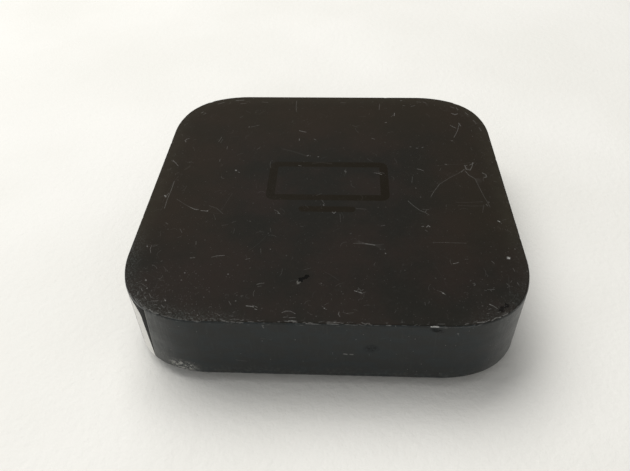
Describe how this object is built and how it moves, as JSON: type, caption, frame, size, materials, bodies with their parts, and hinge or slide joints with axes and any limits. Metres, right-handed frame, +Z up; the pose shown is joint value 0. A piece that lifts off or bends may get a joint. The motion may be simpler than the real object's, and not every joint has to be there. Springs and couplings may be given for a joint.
{
  "type": "streaming media player",
  "caption": "Low rounded-square set-top player box with a mains inlet, video, service, optical and network sockets in its rear wall, rubber foot underneath.",
  "frame": {"origin": "centre of the footprint, on the surface the foot stands on", "axes": "+Z up out of the top face, +Y out of the rear wall with the sockets, -Y out of the plain front, +X to the right seen from the front"},
  "size_m": [0.098, 0.098, 0.023],
  "materials": {
    "case_black": "moulded black plastic, satin, fine grain on the top",
    "base_black": "moulded black plastic, matte",
    "pad_rubber": "dark rubber, fine grain",
    "board_green": "glass-epoxy board with solder mask",
    "board_brown": "single-sided paper-phenolic board",
    "package_black": "moulded epoxy package",
    "gap_pad": "soft silicone gap pad",
    "tin_can": "tin-plated sheet steel",
    "lead_metal": "tinned copper",
    "ceramic_tan": "fired ceramic body",
    "sink_aluminium": "cast aluminium, bare",
    "screw_steel": "zinc-plated steel",
    "lens_dark": "infrared-clear dark resin",
    "led_clear": "clear resin",
    "light_clear": "clear acrylic",
    "connector_white": "natural nylon",
    "ribbon": "polyester flat cable",
    "antenna_copper": "copper on polyimide",
    "coax_black": "thin coaxial lead jacket",
    "gold_contact": "gold-plated copper alloy",
    "socket_black": "glass-filled nylon, black",
    "insulator_amber": "amber insulating film",
    "shutter_black": "moulded black plastic",
    "spring_steel": "stainless spring wire",
    "pin_nickel": "nickel-plated brass",
    "can_sleeve": "printed sleeve over an aluminium can",
    "fuse_brown": "moulded fuse body",
    "ferrite": "sintered ferrite",
    "winding_copper": "enamelled copper under tape",
    "tape_yellow": "polyester winding tape",
    "film_box": "moulded film-capacitor box",
    "plug_white": "natural nylon",
    "wire_red": "hook-up wire insulation"
  },
  "bodies": {
    "player": {"antenna": "antenna_copper", "antenna_lead": "coax_black", "antenna_plug": "gold_contact", "base_cover": "base_black", "board_standoffs": "screw_steel", "bridge_rectifier": "package_black", "clock_crystals": "tin_can", "flash_memory": "package_black", "flex_connectors": "connector_white", "foot_pad": "pad_rubber", "frame_screws": "screw_steel", "heat_sink": "sink_aluminium", "insulator_tray": "insulator_amber", "interface_chips": "package_black", "ir_receiver": "lens_dark", "light_guide": "light_clear", "line_capacitor": "film_box", "line_choke_core": "ferrite", "line_choke_winding": "winding_copper", "line_fuse": "fuse_brown", "main_board": "board_green", "mains_inlet_housing": "socket_black", "mains_inlet_pins": "pin_nickel", "network_socket_contacts": "gold_contact", "network_socket_insert": "socket_black", "network_socket_shell": "tin_can", "network_transformer": "package_black", "optical_emitter": "lens_dark", "optical_socket_housing": "socket_black", "package_leads": "lead_metal", "power_board": "board_brown", "power_inductors": "ferrite", "power_screws": "screw_steel", "processor": "package_black", "processor_shield": "tin_can", "radio_module": "tin_can", "sensor_board": "board_green", "sensor_ribbon": "ribbon", "service_socket_contacts": "gold_contact", "service_socket_shell": "tin_can", "service_socket_tongue": "socket_black", "shutter_spring": "spring_steel", "small_component_ends": "lead_metal", "small_components": "ceramic_tan", "status_led": "led_clear", "supply_capacitors": "can_sleeve", "supply_controller": "package_black", "supply_header": "plug_white", "supply_plug": "plug_white", "supply_wires": "wire_red", "thermal_pad": "gap_pad", "top_case": "case_black", "transformer_base": "package_black", "transformer_core": "ferrite", "transformer_winding": "tape_yellow", "video_socket_contacts": "gold_contact", "video_socket_shell": "tin_can", "video_socket_tongue": "socket_black"},
    "shutter": {"optical_shutter": "shutter_black"}
  },
  "joints": [
    {"name": "optical_shutter_hinge", "type": "hinge", "parent": "player", "child": "shutter", "pos_m": [-0.0092, 0.04715, 0.0156], "axis": [-1, 0, 0], "range_deg": [0, 85], "stiffness_Nm_per_rad": 0.0001, "springref_deg": -20.05, "deforming": ["shutter_spring"]}
  ]
}
